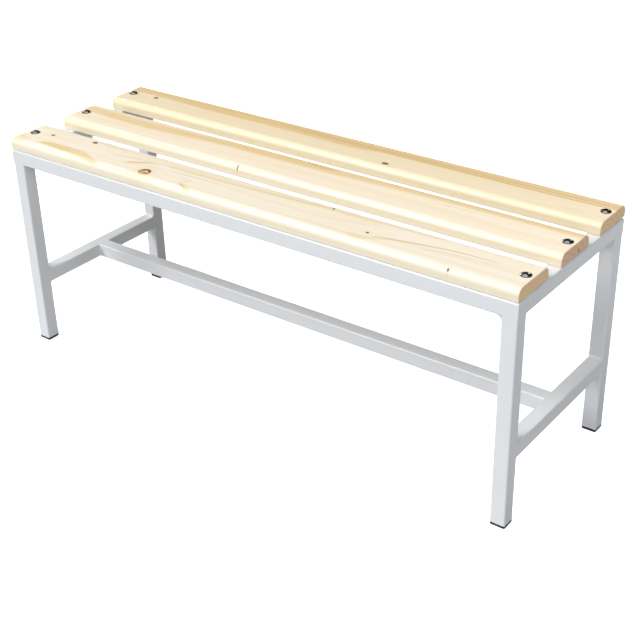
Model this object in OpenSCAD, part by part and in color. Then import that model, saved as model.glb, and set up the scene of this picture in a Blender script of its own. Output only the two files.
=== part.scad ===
// Locker room bench: three pine slats bolted on a welded frame of square steel tube.
// Millimetres, +Z up, +X to the bench's right end, -Y to the front.
// The origin is on the floor, under the middle of the whole bench.

/* [Frame] */
// Length of the welded frame, outside the legs
frame_length = 1000; // [500:10:2000]
// Depth of the welded frame, outside the legs
frame_depth = 330; // [280:5:450]
// Height of the seat's top above the floor
seat_height = 400; // [350:5:550]
// Height of the lower stretchers' top above the floor
stretcher_top = 140; // [80:5:220]

/* [Tube] */
// Outer width of the square tube
tube = 25; // [22:1:32]
// Wall of the square tube
tube_wall = 1.5; // [1:0.1:2]
// Outer corner radius of the square tube
tube_corner = 2.5; // [2:0.1:4]

/* [Slats] */
// Width of a slat
slat_width = 86; // [70:1:90]
// Thickness of a slat
slat_thick = 21; // [18:1:28]
// Radius of a slat's two long top edges
slat_top_round = 11; // [3:0.5:14]
// Radius of a slat's two long bottom edges
slat_bottom_round = 2; // [0.5:0.5:3]
// How far the front slat's edge lies behind the frame's front face
setback_front = 2; // [0:0.5:6]
// How far the back slat's edge stands out behind the frame's back face
overhang_back = 6; // [0:0.5:12]
// How far the slats stand out over the frame's left end
overhang_left = 2; // [0:0.5:6]
// How far the slats' ends lie inside the frame's right end
setback_right = 2; // [0:0.5:6]

/* [Slat bolts] */
// Diameter of the bolt's shank
bolt_size = 6; // [5:1:8]
// Diameter of the bolt's domed head
bolt_head_width = 17; // [12:0.5:18]
// Height of the bolt's domed head
bolt_head_height = 3.6; // [2.5:0.1:4.5]
// Height of the straight rim below the dome
bolt_rim = 0.8; // [0.4:0.1:1.5]
// Width across the flats of the bolt's hex socket
socket_width = 6; // [3:0.5:7]
// Depth of the bolt's hex socket
socket_depth = 2.2; // [1.5:0.1:2.5]
// Distance of a bolt from the frame's outer end face
bolt_inset = 15; // [13:0.5:17]
// How much wider than the bolt its holes in slat and rail are
bolt_clearance = 0.6; // [0.4:0.1:1]
// How far the bolt's tip stands out of its nut
bolt_tail = 2; // [1:0.5:5]

/* [Washers and nuts] */
// Diameter of a washer
washer_width = 12; // [11:0.5:16]
// Thickness of a washer
washer_thick = 1.6; // [1:0.1:2]
// Width of a nut across its flats
nut_width = 10; // [9:0.5:13]
// Height of a nut's hexagon
nut_height = 4.6; // [4:0.1:7]
// Height of the round collar that holds a nut's locking ring
nut_collar = 1.6; // [1:0.1:2]
// How much wider than the bolt the nut's bore is
thread_clearance = 0.1; // [0.1:0.05:0.3]

/* [Feet] */
// Thickness of a foot's base, below the leg
foot_base = 5; // [2:0.5:8]
// Chamfer around the bottom of a foot's base
foot_chamfer = 0.8; // [0.3:0.1:1.5]
// Length of a foot's plug, inside the leg
foot_plug = 18; // [12:1:30]
// Gap between a foot's fins and the leg's bore
foot_clearance = 0.15; // [0.1:0.05:0.4]
// How far a foot's fins stand out of its plug
foot_fin_reach = 1.2; // [0.6:0.1:2]
// Thickness of one fin
foot_fin_thick = 1.2; // [0.8:0.1:2]
// Number of fins up a plug
foot_fins = 3; // [2:1:4]
// Wall of the hollow plug
foot_wall = 2; // [1.5:0.1:3]

/* [Welds] */
// Radius of the weld fillets in the frame's inner corners
weld_size = 5; // [3:0.5:8]
// Radius of the large fillets between the long rails and the right legs
weld_large = 12; // [8:0.5:14]

/* [Hidden] */

// Which node is built, or all of them

$fn = 64;

// a cut reaches this far past the face that it starts from
reach = 1;
bore = tube - 2 * tube_wall;
bore_corner = max(tube_corner - tube_wall, 0.3);
rail_top = seat_height - slat_thick;
rail_bottom = rail_top - tube;
stretcher_bottom = stretcher_top - tube;

// the weld metal that fills the groove along a rounded edge belongs to the tube that ends there
groove_fill = tube_corner - 0.3;

// the slats share the frame's depth evenly, and the whole bench's box goes around frame and slats
slat_length = frame_length + overhang_left - setback_right;
field_depth = frame_depth + overhang_back - setback_front;
slat_gap = (field_depth - 3 * slat_width) / 2;
slat_pitch = slat_width + slat_gap;
field_left = -overhang_left;
field_front = setback_front;
box_left = min(0, field_left);
box_right = max(frame_length, field_left + slat_length);
box_front = min(0, field_front);
box_back = max(frame_depth, field_front + field_depth);
move_x = -(box_left + box_right) / 2;
move_y = -(box_front + box_back) / 2;

// the frame's far sides and the long stretcher's near side
right_x = frame_length - tube;
back_y = frame_depth - tube;
long_y = (frame_depth - tube) / 2;

bolt_xs = [bolt_inset, frame_length - bolt_inset];
bolt_hole = bolt_size + bolt_clearance;
dome_rise = bolt_head_height - bolt_rim;
dome_radius = (pow(bolt_head_width / 2, 2) + pow(dome_rise, 2)) / (2 * dome_rise);
nut_top = rail_bottom - washer_thick;
nut_bottom = nut_top - nut_height - nut_collar;
bolt_tip = nut_bottom - bolt_tail;
tip_chamfer = bolt_size / 8;

paint = [0.87, 0.88, 0.90];
pine = [0.96, 0.87, 0.70];
zinc = [0.72, 0.73, 0.75];
rubber = [0.08, 0.08, 0.09];

// moves what is drawn from the frame's front left corner to the part's origin
module placed() {
  translate([move_x, move_y, 0]) children();
}

// a square with round corners, from its lower left corner
module round_square(side, radius) {
  union() {
    translate([radius, 0]) square([side - 2 * radius, side]);
    translate([0, radius]) square([side, side - 2 * radius]);
    translate([radius, radius]) circle(r = radius);
    translate([side - radius, radius]) circle(r = radius);
    translate([radius, side - radius]) circle(r = radius);
    translate([side - radius, side - radius]) circle(r = radius);
  }
}

module tube_section() {
  difference() {
    round_square(tube, tube_corner);
    translate([tube_wall, tube_wall]) round_square(bore, bore_corner);
  }
}

// hollow tube, and the same without its bore, upwards and along X and Y
module tube_up(length) {
  linear_extrude(length) tube_section();
}

module bar_up(length) {
  linear_extrude(length) round_square(tube, tube_corner);
}

module lay_along_x() {
  translate([0, 0, tube]) rotate([0, 90, 0]) children();
}

module lay_along_y() {
  translate([0, 0, tube]) rotate([-90, 0, 0]) children();
}

module corner_prism(points) {
  linear_extrude(tube) polygon(points);
}

// plan of the top frame's mitred rails
module long_rail_plan() {
  corner_prism([[0, 0], [frame_length, 0], [frame_length - tube, tube], [tube, tube]]);
}

module end_rail_plan() {
  corner_prism([[0, 0], [tube, tube], [tube, frame_depth - tube], [0, frame_depth]]);
}

module long_rail() {
  intersection() {
    lay_along_x() tube_up(frame_length);
    long_rail_plan();
  }
}

module long_rail_bar() {
  intersection() {
    lay_along_x() bar_up(frame_length);
    long_rail_plan();
  }
}

module end_rail_bar() {
  intersection() {
    lay_along_y() bar_up(frame_depth);
    end_rail_plan();
  }
}

module bolt_holes(depth, bottom) {
  for (i = [0 : 2]) {
    translate([bolt_inset, field_front + slat_width / 2 + i * slat_pitch, bottom - reach])
      cylinder(d = bolt_hole, h = depth + 2 * reach);
  }
}

module end_rail() {
  difference() {
    intersection() {
      lay_along_y() tube_up(frame_depth);
      end_rail_plan();
    }
    bolt_holes(tube, 0);
  }
}

// a leg for the front left corner, whose top closes round the rails' lower edges
module leg() {
  difference() {
    translate([0, 0, foot_base]) tube_up(rail_bottom + groove_fill - foot_base);
    translate([0, 0, rail_bottom]) long_rail_bar();
    translate([0, 0, rail_bottom]) end_rail_bar();
  }
}

// a lower end tube, whose ends close round the legs' edges
module end_stretcher() {
  difference() {
    translate([0, tube - groove_fill, 0]) lay_along_y() tube_up(frame_depth - 2 * (tube - groove_fill));
    translate([0, 0, -reach]) bar_up(tube + 2 * reach);
    translate([0, back_y, -reach]) bar_up(tube + 2 * reach);
  }
}

module long_stretcher() {
  difference() {
    translate([tube - groove_fill, 0, 0]) lay_along_x() tube_up(frame_length - 2 * (tube - groove_fill));
    translate([0, -reach, 0]) lay_along_y() bar_up(tube + 2 * reach);
    translate([right_x, -reach, 0]) lay_along_y() bar_up(tube + 2 * reach);
  }
}

// the upper half of the round along a slat's top edge
module top_round(r) {
  intersection() {
    circle(r = r);
    translate([-r, 0]) square([2 * r, r]);
  }
}

module slat_section() {
  r = slat_top_round;
  b = slat_bottom_round;
  union() {
    translate([b, 0]) square([slat_width - 2 * b, slat_thick - r]);
    translate([0, b]) square([slat_width, slat_thick - b - r]);
    translate([r, b]) square([slat_width - 2 * r, slat_thick - b]);
    translate([b, b]) circle(r = b);
    translate([slat_width - b, b]) circle(r = b);
    translate([r, slat_thick - r]) top_round(r);
    translate([slat_width - r, slat_thick - r]) top_round(r);
  }
}

module slat(index) {
  front = field_front + index * slat_pitch;
  difference() {
    translate([field_left, front, rail_top]) rotate([90, 0, 90]) linear_extrude(slat_length) slat_section();
    for (x = bolt_xs) {
      translate([x, front + slat_width / 2, rail_top - reach]) cylinder(d = bolt_hole, h = slat_thick + 2 * reach);
    }
  }
}

// a foot's flat base, hollow plug and fins, under the front left leg
module foot() {
  fin_side = bore - 2 * foot_clearance;
  core = fin_side - 2 * foot_fin_reach;
  core_at = (tube - core) / 2;
  fin_at = (tube - fin_side) / 2;
  fin_step = foot_plug / foot_fins;
  base_corner = tube_corner;
  difference() {
    union() {
      translate([0, 0, foot_chamfer]) linear_extrude(foot_base - foot_chamfer) round_square(tube, base_corner);
      translate([foot_chamfer, foot_chamfer, 0])
        linear_extrude(foot_chamfer) round_square(tube - 2 * foot_chamfer, base_corner - foot_chamfer);
      translate([core_at, core_at, foot_base - reach]) cube([core, core, foot_plug + reach]);
      for (i = [1 : foot_fins]) {
        translate([fin_at, fin_at, foot_base + i * fin_step - foot_fin_thick - foot_fin_reach])
          linear_extrude(foot_fin_thick) round_square(fin_side, bore_corner);
      }
    }
    translate([core_at + foot_wall, core_at + foot_wall, foot_base])
      cube([core - 2 * foot_wall, core - 2 * foot_wall, foot_plug + reach]);
  }
}

module at_bolts() {
  for (x = bolt_xs) {
    for (i = [0 : 2]) {
      translate([x, field_front + slat_width / 2 + i * slat_pitch, 0]) children();
    }
  }
}

module bolt() {
  difference() {
    union() {
      translate([0, 0, seat_height]) intersection() {
        cylinder(d = bolt_head_width, h = bolt_head_height);
        translate([0, 0, bolt_head_height - dome_radius]) sphere(r = dome_radius);
      }
      translate([0, 0, bolt_tip + tip_chamfer])
        cylinder(d = bolt_size, h = seat_height - bolt_tip - tip_chamfer + bolt_rim / 2);
      translate([0, 0, bolt_tip])
        cylinder(d1 = bolt_size - 2 * tip_chamfer, d2 = bolt_size, h = tip_chamfer);
    }
    translate([0, 0, seat_height + bolt_head_height - socket_depth])
      cylinder(d = socket_width / cos(30), h = socket_depth + reach, $fn = 6);
  }
}

module washer() {
  translate([0, 0, nut_top]) difference() {
    cylinder(d = washer_width, h = washer_thick);
    translate([0, 0, -reach]) cylinder(d = bolt_hole, h = washer_thick + 2 * reach);
  }
}

module lock_nut() {
  difference() {
    union() {
      translate([0, 0, nut_top - nut_height]) cylinder(d = nut_width / cos(30), h = nut_height, $fn = 6);
      translate([0, 0, nut_bottom]) cylinder(d = nut_width * 0.9, h = nut_collar);
    }
    translate([0, 0, nut_bottom - reach])
      cylinder(d = bolt_size + thread_clearance, h = nut_height + nut_collar + 2 * reach);
  }
}

// the concave fillet of a weld in a corner between +X and +Y, run upwards
module weld(size, length) {
  linear_extrude(length) difference() {
    square([size, size]);
    translate([size, size]) circle(r = size);
  }
}

// a weld bead is as wide as the tube's flat face
weld_run = tube - 2 * tube_corner;

// between a long rail's underside and the left leg's inner face, at the front
module rail_leg_weld(size) {
  translate([tube, tube_corner, rail_bottom]) rotate([-90, 0, 0]) weld(size, weld_run);
}

// between an end rail's underside and the front leg's inner face
module end_rail_weld() {
  translate([tube - tube_corner, tube, rail_bottom]) rotate([0, -90, 0]) mirror([1, 0, 0]) weld(weld_size, weld_run);
}

// above and below an end stretcher, at the front leg
module stretcher_top_weld() {
  translate([tube_corner, tube, stretcher_top]) rotate([90, 0, 90]) weld(weld_size, weld_run);
}

module stretcher_bottom_weld() {
  translate([tube - tube_corner, tube, stretcher_bottom])
    rotate([0, -90, 0]) mirror([1, 0, 0]) weld(weld_size, weld_run);
}

// beside the long stretcher, at the left end stretcher
module junction_weld() {
  translate([tube, long_y + tube, stretcher_bottom + tube_corner]) weld(weld_size, weld_run);
}

module junction_welds() {
  junction_weld();
  translate([0, frame_depth, 0]) mirror([0, 1, 0]) junction_weld();
}

module corner_welds(size) {
  rail_leg_weld(size);
  end_rail_weld();
  stretcher_top_weld();
  stretcher_bottom_weld();
}

module end_welds(size) {
  corner_welds(size);
  translate([0, frame_depth, 0]) mirror([0, 1, 0]) corner_welds(size);
  junction_welds();
}

// nodes

module leg_front_left() {
  color(paint) placed() leg();
}

module leg_front_right() {
  color(paint) placed() translate([frame_length, 0, 0]) mirror([1, 0, 0]) leg();
}

module leg_back_left() {
  color(paint) placed() translate([0, frame_depth, 0]) mirror([0, 1, 0]) leg();
}

module leg_back_right() {
  color(paint) placed() translate([frame_length, frame_depth, 0]) rotate([0, 0, 180]) leg();
}

module rail_front() {
  color(paint) placed() translate([0, 0, rail_bottom]) long_rail();
}

module rail_back() {
  color(paint) placed() translate([0, frame_depth, rail_bottom]) mirror([0, 1, 0]) long_rail();
}

module rail_left() {
  color(paint) placed() translate([0, 0, rail_bottom]) end_rail();
}

module rail_right() {
  color(paint) placed() translate([frame_length, 0, rail_bottom]) mirror([1, 0, 0]) end_rail();
}

module stretcher_left() {
  color(paint) placed() translate([0, 0, stretcher_bottom]) end_stretcher();
}

module stretcher_right() {
  color(paint) placed() translate([right_x, 0, stretcher_bottom]) end_stretcher();
}

module stretcher_long() {
  color(paint) placed() translate([0, long_y, stretcher_bottom]) long_stretcher();
}

module slat_front() {
  color(pine) placed() slat(0);
}

module slat_middle() {
  color(pine) placed() slat(1);
}

module slat_back() {
  color(pine) placed() slat(2);
}

module foot_front_left() {
  color(rubber) placed() foot();
}

module foot_front_right() {
  color(rubber) placed() translate([right_x, 0, 0]) foot();
}

module foot_back_left() {
  color(rubber) placed() translate([0, back_y, 0]) foot();
}

module foot_back_right() {
  color(rubber) placed() translate([right_x, back_y, 0]) foot();
}

module slat_bolts() {
  color(zinc) placed() at_bolts() bolt();
}

module bolt_washers() {
  color(zinc) placed() at_bolts() washer();
}

module lock_nuts() {
  color(zinc) placed() at_bolts() lock_nut();
}

module frame_welds() {
  color(paint) placed() {
    end_welds(weld_size);
    translate([frame_length, 0, 0]) mirror([1, 0, 0]) end_welds(weld_large);
  }
}

leg_front_left();
leg_front_right();
leg_back_left();
leg_back_right();
rail_front();
rail_back();
rail_left();
rail_right();
stretcher_left();
stretcher_right();
stretcher_long();
slat_front();
slat_middle();
slat_back();
foot_front_left();
foot_front_right();
foot_back_left();
foot_back_right();
slat_bolts();
bolt_washers();
lock_nuts();
frame_welds();
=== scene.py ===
import math
import bpy
from mathutils import Matrix, Vector

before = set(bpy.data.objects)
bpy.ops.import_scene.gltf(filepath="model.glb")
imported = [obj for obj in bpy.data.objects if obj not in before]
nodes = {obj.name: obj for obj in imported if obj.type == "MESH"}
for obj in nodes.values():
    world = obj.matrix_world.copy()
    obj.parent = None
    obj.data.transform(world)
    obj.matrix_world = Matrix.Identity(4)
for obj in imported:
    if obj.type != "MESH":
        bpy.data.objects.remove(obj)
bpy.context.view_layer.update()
scene = bpy.context.scene
print("frame loaded,", len(nodes), "CAD nodes")


# the photograph's viewing angle
cameraView = {"azimuth": 37.29, "elevation": 29.40, "roll": -1.43,
              "place": (1.15747, -1.47027, 1.17463), "lens": 69.99, "sensor": 36, "farthest": 60}


def toward(around, above):  # direction from the bench, in degrees: around from its front, above the floor
    around, above = math.radians(around), math.radians(above)
    return Vector((math.sin(around) * math.cos(above), -math.cos(around) * math.cos(above), math.sin(above)))


def aimCamera(view):
    roll = math.radians(view["roll"])
    back = toward(view["azimuth"], view["elevation"])
    level = (-back).cross(Vector((0, 0, 1))).normalized()
    upright = level.cross(-back)
    side = level * math.cos(roll) + upright * math.sin(roll)
    top = upright * math.cos(roll) - level * math.sin(roll)
    camera = bpy.data.objects.new("camera", bpy.data.cameras.new("camera"))
    camera.data.lens = view["lens"]
    camera.data.sensor_width = view["sensor"]
    camera.data.clip_end = view["farthest"]
    turn = Matrix((side, top, back)).transposed().to_4x4()
    turn.translation = Vector(view["place"])
    camera.matrix_world = turn
    scene.collection.objects.link(camera)
    scene.camera = camera


aimCamera(cameraView)
print("camera placed")


# short ways to make shader nodes
def addNode(tree, kind, **settings):
    node = tree.nodes.new("ShaderNode" + kind)
    for key, value in settings.items():
        setattr(node, key, value)
    return node


def feed(tree, value, socket):  # a number, a colour or another node's socket
    if hasattr(value, "is_output"):
        tree.links.new(value, socket)
    elif value is not None:
        socket.default_value = value


def calc(tree, operation, first, second=None, clamp=False):
    node = addNode(tree, "Math", operation=operation, use_clamp=clamp)
    for value, socket in zip((first, second), node.inputs):
        feed(tree, value, socket)
    return node.outputs[0]


def plus(tree, first, second, clamp=False):
    return calc(tree, "ADD", first, second, clamp)


def minus(tree, first, second):
    return calc(tree, "SUBTRACT", first, second)


def times(tree, first, second):
    return calc(tree, "MULTIPLY", first, second)


def over(tree, first, second):
    return calc(tree, "DIVIDE", first, second)


def swing(tree, pattern, middle, amount):  # how far a pattern lies from its middle, times an amount
    return times(tree, minus(tree, pattern, middle), amount)


def vecCalc(tree, operation, first, second=None):
    node = addNode(tree, "VectorMath", operation=operation)
    for value, socket in zip((first, second), node.inputs):
        feed(tree, value, socket)
    return node.outputs["Value" if operation == "LENGTH" else "Vector"]


def axes(tree, vector):  # its x, y and z
    node = addNode(tree, "SeparateXYZ")
    feed(tree, vector, node.inputs[0])
    return node.outputs


def ease(tree, value, fromMin, fromMax, toMin=0.0, toMax=1.0):  # smooth step between two values
    node = addNode(tree, "MapRange", interpolation_type="SMOOTHSTEP")
    for name, item in (("Value", value), ("From Min", fromMin), ("From Max", fromMax),
                       ("To Min", toMin), ("To Max", toMax)):
        feed(tree, item, node.inputs[name])
    return node.outputs["Result"]


def blendColor(tree, factor, first, second, how="MIX"):
    node = addNode(tree, "Mix", data_type="RGBA", blend_type=how, clamp_factor=True)
    feed(tree, factor, node.inputs[0])
    feed(tree, first, node.inputs[6])  # 6 and 7 are the colours, the sockets before them are for numbers
    feed(tree, second, node.inputs[7])
    return node.outputs[2]


def noise(tree, where, scale, detail=2.0, roughness=0.5):
    node = addNode(tree, "TexNoise")
    feed(tree, where, node.inputs["Vector"])
    node.inputs["Scale"].default_value = scale
    node.inputs["Detail"].default_value = detail
    node.inputs["Roughness"].default_value = roughness
    return node.outputs[0]


def addBump(tree, shader, height, look):
    bump = addNode(tree, "Bump")
    bump.inputs["Strength"].default_value = look["bump"]
    bump.inputs["Distance"].default_value = look["reach"]
    feed(tree, height, bump.inputs["Height"])
    feed(tree, bump.outputs["Normal"], shader.inputs["Normal"])


def newGroup(name, inputs, outputs):
    tree = bpy.data.node_groups.new(name, "ShaderNodeTree")
    for label, kind, value in inputs:
        socket = tree.interface.new_socket(name=label, in_out="INPUT", socket_type="NodeSocket" + kind)
        if value is not None:
            socket.default_value = value
    for label, kind in outputs:
        tree.interface.new_socket(name=label, in_out="OUTPUT", socket_type="NodeSocket" + kind)
    return tree, tree.nodes.new("NodeGroupInput").outputs, tree.nodes.new("NodeGroupOutput").inputs


def place(tree, group, **values):  # puts a group into a material, spaces in its socket names written as _
    node = tree.nodes.new("ShaderNodeGroup")
    node.node_tree = group
    for label, value in values.items():
        feed(tree, value, node.inputs[label.replace("_", " ")])
    return node.outputs


def newMaterial(name):
    material = bpy.data.materials.new(name)
    material.use_nodes = True
    tree = material.node_tree
    return material, tree, tree.nodes["Principled BSDF"]


def dress(piece, material):
    piece.data.materials.clear()
    piece.data.materials.append(material)


def rgb(red, green, blue):  # screen colour, 0 to 255, as a scene colour
    return tuple((c / 255 / 12.92 if c / 255 <= 0.04045 else ((c / 255 + 0.055) / 1.055) ** 2.4)
                 for c in (red, green, blue)) + (1.0,)


# effects that more than one material uses
def makeSurfaceGrain():  # orange peel of a coat, moulding texture, plating: fine bumps and a soft mottle
    tree, given, out = newGroup("surfaceGrain", [
        ("Position", "Vector", None), ("Size", "Float", 0.001), ("Patch", "Float", 0.01)],
        [("Height", "Float"), ("Mottle", "Float")])
    for size, detail, label in (("Size", 2.0, "Height"), ("Patch", 1.0, "Mottle")):
        where = addNode(tree, "VectorMath", operation="SCALE")
        feed(tree, given["Position"], where.inputs[0])
        feed(tree, over(tree, 1.0, given[size]), where.inputs["Scale"])
        feed(tree, noise(tree, where.outputs[0], 1.0, detail), out[label])
    return tree


# waves per metre along and across the board, then detail and roughness of the pattern
fibreLook = {"Fine": ((14, 900, 900), 3.0, 0.6), "Broad": ((2.2, 60, 60), 3.0, 0.55)}


def makeFibre(look):  # fine lines along the board, for colour and for bump
    tree, given, out = newGroup("woodFibre", [("Position", "Vector", None), ("Seed", "Float", 0.0)],
                                [("Fine", "Float"), ("Broad", "Float")])
    shift = addNode(tree, "CombineXYZ")
    feed(tree, given["Seed"], shift.inputs[0])
    feed(tree, given["Seed"], shift.inputs[1])
    where = vecCalc(tree, "ADD", given["Position"], shift.outputs[0])
    for label, (waves, detail, roughness) in look.items():
        feed(tree, noise(tree, vecCalc(tree, "MULTIPLY", where, waves), 1.0, detail, roughness), out[label])
    return tree


ringLook = {"wanderWaves": (1.6, 7, 7), "wanderRoughness": 0.45,
            "taper": (0.012, 1, 1),  # how slowly the rings change along the board
            "latePower": 2.0, "lateStart": (0.15, 0.82), "lateEnd": (0.86, 0.98)}  # shares of a year


def makeRings(look):  # year rings round a pith along the board, for the faces and the end grain alike
    tree, given, out = newGroup("yearRings", [
        ("Position", "Vector", None), ("Pith", "Vector", None), ("Width", "Float", 0.004),
        ("Wander", "Float", 0.01), ("Seed", "Float", 0.0), ("Swirl", "Float", 0.0)], [("Late", "Float")])
    offset = addNode(tree, "CombineXYZ")
    feed(tree, given["Seed"], offset.inputs[0])
    waves = vecCalc(tree, "MULTIPLY", given["Position"], look["wanderWaves"])
    waves = vecCalc(tree, "ADD", waves, offset.outputs[0])
    drift = noise(tree, waves, 1.0, roughness=look["wanderRoughness"])
    fromPith = vecCalc(tree, "MULTIPLY", vecCalc(tree, "SUBTRACT", given["Position"], given["Pith"]),
                       look["taper"])
    radius = plus(tree, vecCalc(tree, "LENGTH", fromPith), swing(tree, drift, 0.5, given["Wander"]))
    radius = plus(tree, radius, given["Swirl"])
    phase = calc(tree, "FRACT", over(tree, radius, given["Width"]))
    rise = ease(tree, phase, *look["lateStart"])
    fall = ease(tree, phase, *look["lateEnd"], 1.0, 0.0)
    feed(tree, times(tree, calc(tree, "POWER", rise, look["latePower"]), fall), out["Late"])
    return tree


# edges are shares of the knot's half size, from where a zone starts to fade to where it is gone
knotLook = {"unevenWaves": 320, "uneven": 0.4, "coreEdge": (0.85, 1.05), "ringInner": 0.25,
            "ringEdge": (0.95, 1.15), "haloEdge": (1.0, 3.0), "pushFall": -0.14}


def makeKnot(look):  # a knot or check: core, dark ring, halo, and the push that bends the year rings
    tree, given, out = newGroup("knot", [
        ("Position", "Vector", None), ("Centre", "Vector", None), ("Half Size", "Vector", None),
        ("Ring", "Float", 0.5), ("Lean", "Float", 0.0)],
        [("Core", "Float"), ("Bark", "Float"), ("Halo", "Float"), ("Push", "Float")])
    fromCentre = vecCalc(tree, "SUBTRACT", given["Position"], given["Centre"])
    away = vecCalc(tree, "DIVIDE", fromCentre, given["Half Size"])
    far = vecCalc(tree, "LENGTH", away)
    acrossBoard = axes(tree, away)[1]
    uneven = noise(tree, given["Position"], look["unevenWaves"])
    rough = plus(tree, far, swing(tree, uneven, 0.5, look["uneven"]))
    leaning = plus(tree, rough, times(tree, acrossBoard, given["Lean"]))  # the ring is thicker on one side
    inner = minus(tree, 1.0, given["Ring"])
    insideRing = ease(tree, leaning, inner, plus(tree, inner, look["ringInner"]))
    feed(tree, ease(tree, rough, *look["coreEdge"], 1.0, 0.0), out["Core"])
    feed(tree, times(tree, insideRing, ease(tree, rough, *look["ringEdge"], 1.0, 0.0)), out["Bark"])
    feed(tree, ease(tree, far, *look["haloEdge"], 1.0, 0.0), out["Halo"])
    lobe = calc(tree, "EXPONENT", times(tree, calc(tree, "POWER", far, 2.0), look["pushFall"]))
    strength = times(tree, lobe, axes(tree, given["Half Size"])[1])
    feed(tree, times(tree, strength, calc(tree, "TANH", acrossBoard)), out["Push"])
    return tree


surfaceGrain, woodFibre = makeSurfaceGrain(), makeFibre(fibreLook)
yearRings, knot = makeRings(ringLook), makeKnot(knotLook)
print("shared effects ready")


# the powder-coated frame
powderCoat = {"color": rgb(212, 213, 215), "shade": rgb(210, 212, 214),
              "roughness": 0.21, "patchRoughness": 0.02,  # the least, and what the mottle adds to it
              "grainSize": 0.0014, "patchSize": 0.12, "bump": 0.03, "reach": 0.0003,
              "scratch": {"place": (0.501, -0.126, 0.3675), "half": (0.004, 0.0005, 0.0042),
                          "edge": (0.7, 1.3), "color": rgb(150, 152, 156)}}


def grainedMaterial(name, look):  # a material with its grain's bumps and its patches of roughness
    material, tree, shader = newMaterial(name)
    where = addNode(tree, "TexCoord").outputs["Object"]
    grain = place(tree, surfaceGrain, Position=where, Size=look["grainSize"], Patch=look["patchSize"])
    addBump(tree, shader, grain["Height"], look)
    patches = times(tree, grain["Mottle"], look["patchRoughness"])
    feed(tree, plus(tree, look["roughness"], patches), shader.inputs["Roughness"])
    return material, tree, shader, where, grain["Mottle"]


def makePowderCoat(look):
    material, tree, shader, where, mottle = grainedMaterial("powderCoat", look)
    mark = look["scratch"]
    away = vecCalc(tree, "DIVIDE", vecCalc(tree, "SUBTRACT", where, mark["place"]), mark["half"])
    scratch = ease(tree, vecCalc(tree, "LENGTH", away), *mark["edge"], 1.0, 0.0)
    color = blendColor(tree, mottle, look["color"], look["shade"])
    feed(tree, blendColor(tree, scratch, color, mark["color"]), shader.inputs["Base Color"])
    return material


coatMaterial = makePowderCoat(powderCoat)
for name, item in nodes.items():
    if name.startswith(("leg_", "rail_", "stretcher_")) or name == "frame_welds":
        dress(item, coatMaterial)
print("frame coated")


# the pine slats
pineLook = {"late": rgb(222, 198, 152), "endEarly": rgb(240, 204, 161), "endLate": rgb(225, 185, 141),
            "core": rgb(234, 192, 134), "coreDark": rgb(178, 130, 72), "bark": rgb(86, 54, 10),
            # side: painted shade, a darker tint over the slats' faces turned to the front and back
            "halo": rgb(226, 198, 140), "side": (0.91, 0.925, 0.905, 1.0),
            "roughness": 0.46, "endDull": 0.30, "gloss": 0.9, "bump": 0.12, "reach": 0.0004, "ringBump": 0.4,
            "endFacing": (0.80, 0.97), "shadedSideFacing": (0.90, 0.99),  # how squarely a face looks that way
            "waver": 0.004,  # metres that the broad fibre moves a streak sideways
            "broadMiddle": 0.45, "broadShare": 0.7, "fineShare": 0.10, "haloShare": 0.35,
            "heartWaves": 190, "heartEdge": (0.42, 0.58), "knotLean": 0.28,
            "endRings": 0.5, "endFibre": 0.3, "streakFibre": 0.5,
            "sandedRim": {"width": 0.0014, "steps": 3, "angle": 60, "joinWithin": 0.00002}}
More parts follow.
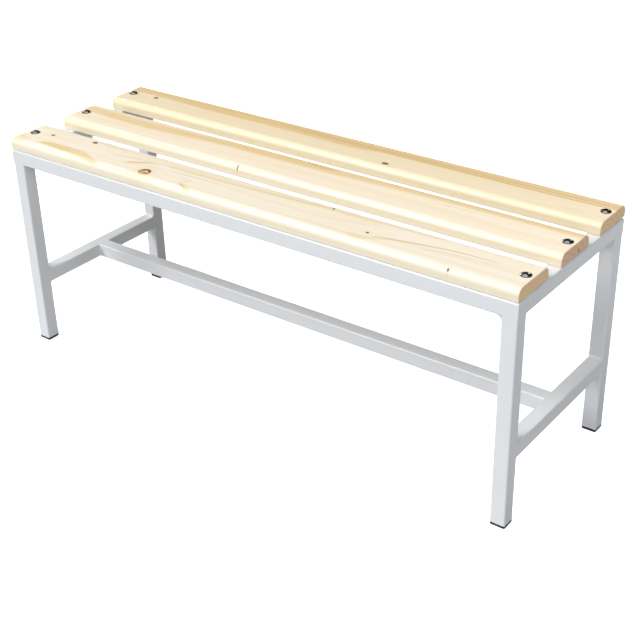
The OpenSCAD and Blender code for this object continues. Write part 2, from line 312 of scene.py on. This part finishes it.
slats = {
    # pith: a point on the rings' centre line, ring: a year's width, wander: how far the rings stray,
    # late: how strongly the late wood shows, end: a tint over the end grain
    # knots: x, y, z, half sizes along the three axes, then the share of the radius that is dark ring
    # streaks: colour, strength, softness of the rim, then points along the board: x, y, half width, in mm
    "slat_front": {
        "tone": rgb(237, 226, 206), "band": rgb(217, 186, 114), "line": rgb(180, 164, 102),
        "end": rgb(255, 255, 255), "pith": (0.1, -0.105, 0.330), "ring": 0.0070, "wander": 0.034,
        "seed": 3.1, "late": 0.20,
        "knots": [
            (-0.1980, -0.1465, 0.40, 0.0104, 0.0104, 0.030, 0.36),
            (-0.4475, -0.1147, 0.40, 0.0036, 0.0030, 0.02, 1.0),
            (-0.3588, -0.0997, 0.40, 0.0048, 0.0036, 0.02, 1.0),
            (0.1443, -0.0935, 0.40, 0.0018, 0.0022, 0.02, 1.0),
            (0.2333, -0.1332, 0.40, 0.0023, 0.0023, 0.02, 1.0),
            (0.3880, -0.1630, 0.398, 0.0018, 0.0018, 0.01, 1.0),
            (0.4870, -0.0850, 0.40, 0.0010, 0.0022, 0.02, 1.0)],
        "streaks": [
            ("band", 0.08, 0.9, [(-501, -125, 50), (-440, -125, 45), (-380, -125, 20)]),
            ("band", 0.36, 0.6, [(-501, -152, 14), (-482, -152, 12), (-466, -154, 5)]),
            ("band", 0.80, 0.4, [(-455, -151, 0.8), (-434, -148, 5), (-421, -147, 7),
                (-401, -148.3, 8.5), (-368, -149, 10)]),
            ("band", 0.66, 0.5, [(-396, -148.5, 8.5), (-368, -149, 10), (-348, -149.5, 11.5),
                (-331, -152, 10), (-314, -157.5, 6.5), (-286, -162, 3)]),
            ("line", 0.45, 0.7, [(-451, -149.5, 0.6), (-434, -143, 1.3), (-400, -140.6, 1.3),
                (-364, -139.7, 1.3), (-335, -141, 0.6)]),
            ("line", 0.60, 0.7, [(-364, -97, 0.8), (-340, -95, 1.3), (-300, -95, 0.9),
                (-272, -95, 0.5)]),
            ("band", 0.80, 0.5, [(-262, -137, 1.4), (-249, -132.5, 4.0), (-236, -125.5, 4.2),
                (-224, -118.5, 3.0), (-210, -113.5, 1.6), (-190, -111.5, 0.8)]),
            ("line", 0.62, 0.7, [(-262, -135, 0.8), (-248, -127.5, 1.5), (-234, -120.5, 1.6),
                (-222, -114.8, 1.4), (-205, -112, 0.7)]),
            ("line", 0.50, 0.8, [(-310, -122.5, 0.6), (-280, -119, 1.3), (-258, -114, 1.4),
                (-240, -112, 1.1), (-215, -109.5, 1.2), (-170, -108.5, 1.6), (-130, -108, 2.0),
                (-80, -108, 1.8), (-30, -106, 1.6), (0, -104.5, 1.8), (60, -101, 1.8), (120, -97, 1.8),
                (150, -95, 1.0)]),
            ("band", 0.34, 0.9, [(-190, -105, 1.5), (-100, -103, 3), (0, -101, 6), (80, -98, 8),
                (140, -96, 7), (250, -94, 5), (360, -91, 2)]),
            ("line", 0.40, 0.8, [(-180, -118, 0.8), (-140, -120, 1.4), (-100, -119, 1.2),
                (-56, -118, 0.6)]),
            ("line", 0.36, 0.8, [(-144, -131, 0.6), (-125, -132, 1.3), (-104, -132, 0.6)]),
            ("line", 0.60, 0.7, [(-121, -147, 1.0), (-114, -140.5, 1.5), (-105, -135, 0.8)]),
            ("line", 0.60, 0.7, [(-121, -148, 1.0), (-110, -154, 1.7), (-95, -163, 1.2)]),
            ("band", 0.55, 0.8, [(-124, -149, 4), (-108, -154, 5), (-84, -163, 3.5)]),
            ("band", 0.14, 0.9, [(110, -150, 2), (150, -150, 7), (190, -150, 7), (214, -150, 3)]),
            ("band", 0.38, 0.8, [(196, -151, 2), (214, -151, 7), (230, -151, 8), (247, -146, 5),
                (272, -134, 4), (300, -128, 3), (345, -119, 2)]),
            ("line", 0.66, 0.7, [(232, -145, 0.6), (252, -138, 1.2), (272, -133, 1.7), (299, -127, 1.7),
                (332, -121, 1.8), (366, -115.8, 1.8), (399, -113.5, 1.4), (450, -112, 0.7)]),
            ("line", 0.36, 0.8, [(310, -142, 0.6), (336, -133, 1.4), (356, -127, 1.4), (392, -124, 1.2),
                (450, -121, 0.6)]),
            ("line", 0.26, 0.8, [(150, -97, 0.7), (220, -95, 1.3), (290, -94, 1.2), (350, -94, 0.5)])]},
    "slat_middle": {
        "tone": rgb(238, 224, 200), "band": rgb(215, 182, 110), "line": rgb(182, 154, 94),
        "end": rgb(244, 240, 246), "pith": (0.2, -0.060, 0.300), "ring": 0.0105, "wander": 0.020,
        "seed": 11.7, "late": 0.15,
        "knots": [
            (-0.0900, -0.0395, 0.40, 0.0012, 0.0026, 0.02, 1.0),
            (0.499, 0.0115, 0.3850, 0.004, 0.0014, 0.0034, 1.0)],
        "streaks": [
            ("band", 0.12, 0.9, [(-501, -2, 26), (-400, 0, 24), (-300, 2, 16), (-220, 4, 6)]),
            ("band", 0.66, 0.6, [(-501, 19, 10), (-450, 17, 13), (-400, 14.5, 14), (-350, 14, 13.5),
                (-300, 16, 12.5), (-250, 19, 11), (-200, 22, 11), (-150, 25, 13), (-100, 26, 14.5),
                (0, 27, 15.5), (60, 28, 15.5), (150, 31, 14), (250, 32, 13), (350, 32, 13),
                (499, 32, 13)]),
            ("band", 0.22, 0.9, [(-501, 30, 12), (-300, 31, 10), (-150, 32, 8), (-100, 33, 3)]),
            ("band", 0.34, 0.8, [(-300, 20, 3), (-230, 20, 6), (-150, 23, 7), (-80, 26, 7), (0, 28, 6),
                (80, 31, 4)]),
            ("line", 0.40, 0.9, [(0, 31, 1.5), (25, 29.5, 4), (42, 28, 3.5), (64, 28, 1.5)]),
            ("line", 0.30, 0.9, [(150, 32, 1), (250, 32, 2), (350, 31, 2), (499, 30, 2)]),
            ("line", 0.30, 0.8, [(236, 8, 0.6), (270, 10, 1.3), (300, 12, 1.3), (340, 13.5, 0.6)])]},
    "slat_back": {
        "tone": rgb(230, 213, 180), "band": rgb(214, 183, 124), "line": rgb(180, 148, 88),
        "end": rgb(255, 255, 250), "pith": (-0.1, 0.090, 0.330), "ring": 0.0090, "wander": 0.016,
        "seed": 23.9, "late": 0.18,
        "knots": [
            (-0.4295, 0.1285, 0.40, 0.0044, 0.0036, 0.02, 1.0),
            (0.1085, 0.0985, 0.40, 0.0060, 0.0034, 0.02, 1.0)],
        "streaks": [
            ("band", 0.86, 0.22, [(-501, 149, 14), (-420, 150, 13), (-350, 149, 15), (-290, 147, 16.5),
                (-150, 146, 16.5), (-50, 145, 18), (5, 144, 18.5), (40, 145, 18), (60, 146.5, 16),
                (100, 148, 15), (200, 148, 15), (300, 148, 15), (400, 149, 15), (499, 150, 14)]),
            ("line", 0.45, 0.8, [(-440, 137, 0.8), (-400, 136.5, 1.5), (-350, 134.5, 1.6),
                (-290, 133, 0.8)]),
            ("line", 0.16, 0.9, [(-501, 152, 4), (-300, 151, 5), (-100, 149, 4), (0, 148, 2),
                (60, 148, 1)]),
            ("line", 0.64, 0.7, [(-150, 148.5, 0.6), (-80, 148, 1.4), (0, 145.5, 1.8), (100, 146, 1.8),
                (200, 145.5, 1.8), (300, 145, 1.8), (400, 145.5, 1.8), (499, 147, 1.8)]),
            ("line", 0.64, 0.7, [(-150, 143, 0.6), (-80, 142, 1.2), (0, 139.5, 1.6), (100, 140, 1.6),
                (200, 138.5, 1.7), (300, 137, 1.8), (400, 136, 1.8), (440, 136.5, 1.8),
                (499, 139, 1.5)]),
            ("line", 0.36, 0.8, [(60, 152, 0.6), (140, 151, 1.3), (300, 150.5, 1.4), (499, 153, 1.4)]),
            ("line", 0.30, 0.8, [(418, 101.5, 0.6), (445, 104, 2.0), (468, 107, 0.8)])]},
}


streakLook = {"reach": 0.501, "offset": 0.2, "widthScale": 20.0,  # fit a streak into the curves' range
              "thinnest": 0.00005, "outerSoftness": 0.4, "fade": 0.02, "fadeShare": 0.25, "boardEnd": 0.495}


def drawCurve(tree, along, spots):  # a value that follows points along the board
    node = addNode(tree, "FloatCurve")
    curve = node.mapping.curves[0]
    while len(curve.points) < len(spots):
        curve.points.new(0.5, 0.5)
    for point, spot in zip(curve.points, spots):
        point.location = spot
        point.handle_type = "AUTO_CLAMPED"
    node.mapping.extend = "HORIZONTAL"
    node.mapping.use_clip = False
    node.mapping.update()
    feed(tree, along, node.inputs["Value"])
    return node.outputs[0]


def traceStreak(tree, x, y, soft, points, look):  # a streak that follows points in mm, as a mask
    reach, offset, scale = look["reach"], look["offset"], look["widthScale"]
    along = over(tree, plus(tree, x, reach), 2 * reach)
    spots = [(p[0] / 1000 + reach) / (2 * reach) for p in points]
    middle = drawCurve(tree, along, [(s, p[1] / 1000 + offset) for s, p in zip(spots, points)])
    width = drawCurve(tree, along, [(s, p[2] / 1000 * scale) for s, p in zip(spots, points)])
    away = calc(tree, "ABSOLUTE", minus(tree, y, minus(tree, middle, offset)))
    half = calc(tree, "MAXIMUM", over(tree, width, scale), look["thinnest"])
    mask = ease(tree, over(tree, away, half), 1.0 - soft, 1.0 + look["outerSoftness"] * soft, 1.0, 0.0)
    first, last = points[0][0] / 1000, points[-1][0] / 1000
    fade = min(look["fade"], look["fadeShare"] * (last - first))
    if first > -look["boardEnd"]:
        mask = times(tree, mask, ease(tree, x, first, first + fade))
    if last < look["boardEnd"]:
        mask = times(tree, mask, ease(tree, x, last - fade, last, 1.0, 0.0))
    return mask


def pineFace(tree, slat, look, where, rings, fibre, marks):  # colour of the long faces
    x, y = axes(tree, where)[:2]
    y = plus(tree, y, swing(tree, fibre["Broad"], 0.5, look["waver"]))
    depth = plus(tree, times(tree, rings["Late"], slat["late"]),
                 swing(tree, fibre["Broad"], look["broadMiddle"], look["broadShare"]), clamp=True)
    face = blendColor(tree, depth, slat["tone"], look["late"])
    for kind, strength, soft, points in slat["streaks"]:
        mask = traceStreak(tree, x, y, soft, points, streakLook)
        fibrous = times(tree, fibre["Fine"], look["streakFibre"])
        fibrous = plus(tree, strength - look["streakFibre"] / 2, fibrous)
        face = blendColor(tree, times(tree, mask, fibrous), face, slat[kind])
    face = blendColor(tree, times(tree, fibre["Fine"], look["fineShare"]), face, look["endEarly"])
    grain = ease(tree, noise(tree, where, look["heartWaves"], 1.0), *look["heartEdge"])
    heart = blendColor(tree, grain, look["core"], look["coreDark"])
    for mark in marks:
        face = blendColor(tree, times(tree, mark["Halo"], look["haloShare"]), face, look["halo"])
        face = blendColor(tree, mark["Core"], face, heart)
        face = blendColor(tree, mark["Bark"], face, look["bark"])
    return face


# colour of the end grain; the slat's last knot is a check in it where it reaches that far
def pineEnds(tree, slat, look, rings, fibre, marks):
    depth = plus(tree, times(tree, rings["Late"], look["endRings"]),
                 times(tree, fibre["Fine"], look["endFibre"]))
    ends = blendColor(tree, depth, look["endEarly"], look["endLate"])
    ends = blendColor(tree, 1.0, ends, slat["end"], "MULTIPLY")
    return blendColor(tree, marks[-1]["Bark"], ends, look["bark"])


def makePine(name, slat, look):
    material, tree, shader = newMaterial("pine_" + name)
    where = addNode(tree, "TexCoord").outputs["Object"]
    facing = axes(tree, addNode(tree, "NewGeometry").outputs["Normal"])
    endGrain = ease(tree, calc(tree, "ABSOLUTE", facing[0]), *look["endFacing"])
    # painted shade: mask of the faces turned to the front and back
    side = ease(tree, calc(tree, "ABSOLUTE", facing[1]), *look["shadedSideFacing"])
    marks, push = [], 0.0
    for x, y, z, halfX, halfY, halfZ, ring in slat["knots"]:
        mark = place(tree, knot, Position=where, Centre=(x, y, z), Half_Size=(halfX, halfY, halfZ),
                     Ring=ring, Lean=look["knotLean"] if ring < 1 else 0.0)
        marks.append(mark)
        push = plus(tree, push, mark["Push"])
    rings = place(tree, yearRings, Position=where, Pith=slat["pith"], Width=slat["ring"],
                  Wander=slat["wander"], Seed=slat["seed"], Swirl=push)
    fibre = place(tree, woodFibre, Position=where, Seed=slat["seed"])
    face = pineFace(tree, slat, look, where, rings, fibre, marks)
    # painted shade darkens the front and back faces
    face = blendColor(tree, side, face, look["side"], "MULTIPLY")
    ends = pineEnds(tree, slat, look, rings, fibre, marks)
    feed(tree, blendColor(tree, endGrain, face, ends), shader.inputs["Base Color"])
    rough = plus(tree, look["roughness"], times(tree, endGrain, look["endDull"]))
    feed(tree, rough, shader.inputs["Roughness"])
    shader.inputs["Specular IOR Level"].default_value = look["gloss"]
    addBump(tree, shader, plus(tree, fibre["Fine"], times(tree, rings["Late"], look["ringBump"])), look)
    return material


def easeEnds(piece, look):  # the sanded rim round each end
    weld = piece.modifiers.new("joinFaces", "WELD")  # the CAD faces come with corners of their own
    weld.merge_threshold = look["joinWithin"]
    rim = piece.modifiers.new("sandedRim", "BEVEL")
    rim.width = look["width"]
    rim.segments = look["steps"]
    rim.use_clamp_overlap = False
    rim.loop_slide = False  # keeps every new point inside the slat's outline
    rim.limit_method = "ANGLE"
    rim.angle_limit = math.radians(look["angle"])


for name, slat in slats.items():
    dress(nodes[name], makePine(name, slat, pineLook))
    easeEnds(nodes[name], pineLook["sandedRim"])
print("slats finished")


# bolts, washers, nuts and feet
boltPlating = {"color": rgb(178, 178, 181), "dull": rgb(160, 160, 156), "dullShare": 0.3,
               "roughness": 0.14, "patchRoughness": 0.08, "grainSize": 0.0006, "patchSize": 0.006,
               "bump": 0.03, "reach": 0.0002}
zincPlating = {"color": rgb(186, 190, 196), "dull": rgb(160, 160, 156), "dullShare": 0.3,
               "roughness": 0.34, "patchRoughness": 0.08, "grainSize": 0.0009, "patchSize": 0.006,
               "bump": 0.08, "reach": 0.0002}
# painted shade on the bolt heads: a dark colour laid into the sockets and round the rims where the heads
# meet the wood
boltHead = {"across": 0.017, "shade": rgb(22, 22, 24),
            "socketEdge": (0.0033, 0.0031), "socketShare": 0.85,  # radii
            "rimEdge": (0.0012, 0.0008), "rimShare": 0.9}  # heights above the slats
plastic = {"color": rgb(7, 7, 8), "worn": rgb(13, 13, 14), "roughness": 0.55, "patchRoughness": 0.12,
           "grainSize": 0.0005, "patchSize": 0.008, "bump": 0.25, "reach": 0.0002}


def span(piece, axis):  # from where to where the piece reaches along an axis
    places = [corner[axis] for corner in piece.bound_box]
    return min(places), max(places)


def middleOf(piece, axis):
    return sum(span(piece, axis)) / 2


def paintedShadeSpots(tree, where, look):  # painted shade: darkens the socket's inside and the line where the head meets the wood
    left, right = span(nodes["slat_bolts"], 0)
    halfLength = (right - left - look["across"]) / 2  # half the way from the left bolts to the right ones
    middleRow = middleOf(nodes["slat_middle"], 1)
    pitch = middleRow - middleOf(nodes["slat_front"], 1)
    seat = span(nodes["slat_middle"], 2)[1]
    spot = axes(tree, where)
    x = minus(tree, calc(tree, "ABSOLUTE", minus(tree, spot[0], (left + right) / 2)), halfLength)
    turns = plus(tree, over(tree, minus(tree, spot[1], middleRow), pitch), 0.5)
    y = swing(tree, calc(tree, "FRACT", turns), 0.5, pitch)
    radius = calc(tree, "SQRT", plus(tree, calc(tree, "POWER", x, 2.0), calc(tree, "POWER", y, 2.0)))
    socket = times(tree, ease(tree, radius, *look["socketEdge"]), look["socketShare"])
    rim = times(tree, ease(tree, minus(tree, spot[2], seat), *look["rimEdge"]), look["rimShare"])
    return calc(tree, "MAXIMUM", socket, rim)


def makeMetal(name, look, head=None):
    material, tree, shader, where, mottle = grainedMaterial(name, look)
    color = blendColor(tree, times(tree, mottle, look["dullShare"]), look["color"], look["dull"])
    if head:
        # painted shade in the bolt heads' sockets and round their rims
        color = blendColor(tree, paintedShadeSpots(tree, where, head), color, head["shade"])
    feed(tree, color, shader.inputs["Base Color"])
    shader.inputs["Metallic"].default_value = 1.0
    return material


def makePlastic(look):
    material, tree, shader, _, mottle = grainedMaterial("blackPlastic", look)
    feed(tree, blendColor(tree, mottle, look["color"], look["worn"]), shader.inputs["Base Color"])
    return material


finishes = {"slat_bolts": makeMetal("boltPlating", boltPlating, boltHead)}
finishes["bolt_washers"] = finishes["lock_nuts"] = makeMetal("zincPlating", zincPlating)
black = makePlastic(plastic)
for name in nodes:
    if name.startswith("foot_"):
        finishes[name] = black
for name, material in finishes.items():
    dress(nodes[name], material)
print("bolts and feet finished")


# floor and light
stageLook = {"floorSize": 60.0, "floorDrop": 0.0003, "floorColor": (0.86, 0.86, 0.86, 1.0),
             "bounceColor": (0.42, 0.42, 0.42, 1.0), "floorGlow": 0.62, "floorRoughness": 0.9,
             "floorGloss": 0.1, "skyColor": (0.96, 0.98, 1.0, 1.0), "skyLow": 0.06, "skyHigh": 0.04,
             "skyRise": (0.25, 0.75), "backdrop": 1.0,
             "suns": {  # azimuth the light comes from (0 is the front), height, strength, angular size
                 "keyLight": (-37, 41, 2.67, 28), "fillLight": (45, 42, 1.66, 40),
                 "topLight": (-60, 78, 0.76, 60),
                 "backLightRight": (195, 22, 0.28, 14), "backLightLeft": (240, 22, 0.28, 14)},
             "cool": {"fillLight": (0.945, 0.99, 1.03)}}
white = (1.0, 1.0, 1.0, 1.0)


def makeFloor(look):
    half = look["floorSize"] / 2
    mesh = bpy.data.meshes.new("floor")
    corners = [(-half, -half, 0), (half, -half, 0), (half, half, 0), (-half, half, 0)]
    mesh.from_pydata(corners, [], [(0, 1, 2, 3)])
    floor = bpy.data.objects.new("floor", mesh)
    floor.location.z = -look["floorDrop"]
    scene.collection.objects.link(floor)
    material, tree, shader = newMaterial("floorPaint")
    path = addNode(tree, "LightPath")
    feed(tree, blendColor(tree, path.outputs["Is Diffuse Ray"], look["floorColor"], look["bounceColor"]),
         shader.inputs["Base Color"])
    shader.inputs["Roughness"].default_value = look["floorRoughness"]
    shader.inputs["Specular IOR Level"].default_value = look["floorGloss"]
    shader.inputs["Emission Color"].default_value = white
    glow = times(tree, path.outputs["Is Camera Ray"], look["floorGlow"])
    feed(tree, glow, shader.inputs["Emission Strength"])
    mesh.materials.append(material)


def makeSky(look):
    world = bpy.data.worlds.new("studio")
    scene.world = world
    world.use_nodes = True
    tree = world.node_tree
    soft = tree.nodes["Background"]
    soft.inputs["Color"].default_value = look["skyColor"]
    height = axes(tree, addNode(tree, "TexCoord").outputs["Generated"])[2]
    glow = ease(tree, height, *look["skyRise"], look["skyLow"], look["skyHigh"])
    feed(tree, glow, soft.inputs["Strength"])
    pale = addNode(tree, "Background")
    pale.inputs["Strength"].default_value = look["backdrop"]
    pale.inputs["Color"].default_value = white
    mix = addNode(tree, "MixShader")
    feed(tree, addNode(tree, "LightPath").outputs["Is Camera Ray"], mix.inputs[0])
    tree.links.new(soft.outputs[0], mix.inputs[1])
    tree.links.new(pale.outputs[0], mix.inputs[2])
    tree.links.new(mix.outputs[0], tree.nodes["World Output"].inputs["Surface"])


def makeSuns(look):
    for name, (around, above, strength, spread) in look["suns"].items():
        light = bpy.data.lights.new(name, "SUN")
        light.energy = strength
        light.color = look["cool"].get(name, white[:3])
        light.angle = math.radians(spread)
        lamp = bpy.data.objects.new(name, light)
        lamp.rotation_mode = "QUATERNION"
        lamp.rotation_quaternion = toward(around, above).to_track_quat("Z", "Y")
        scene.collection.objects.link(lamp)


makeFloor(stageLook)
makeSky(stageLook)
makeSuns(stageLook)
scene.view_settings.view_transform = "Standard"
print("floor and lights placed")
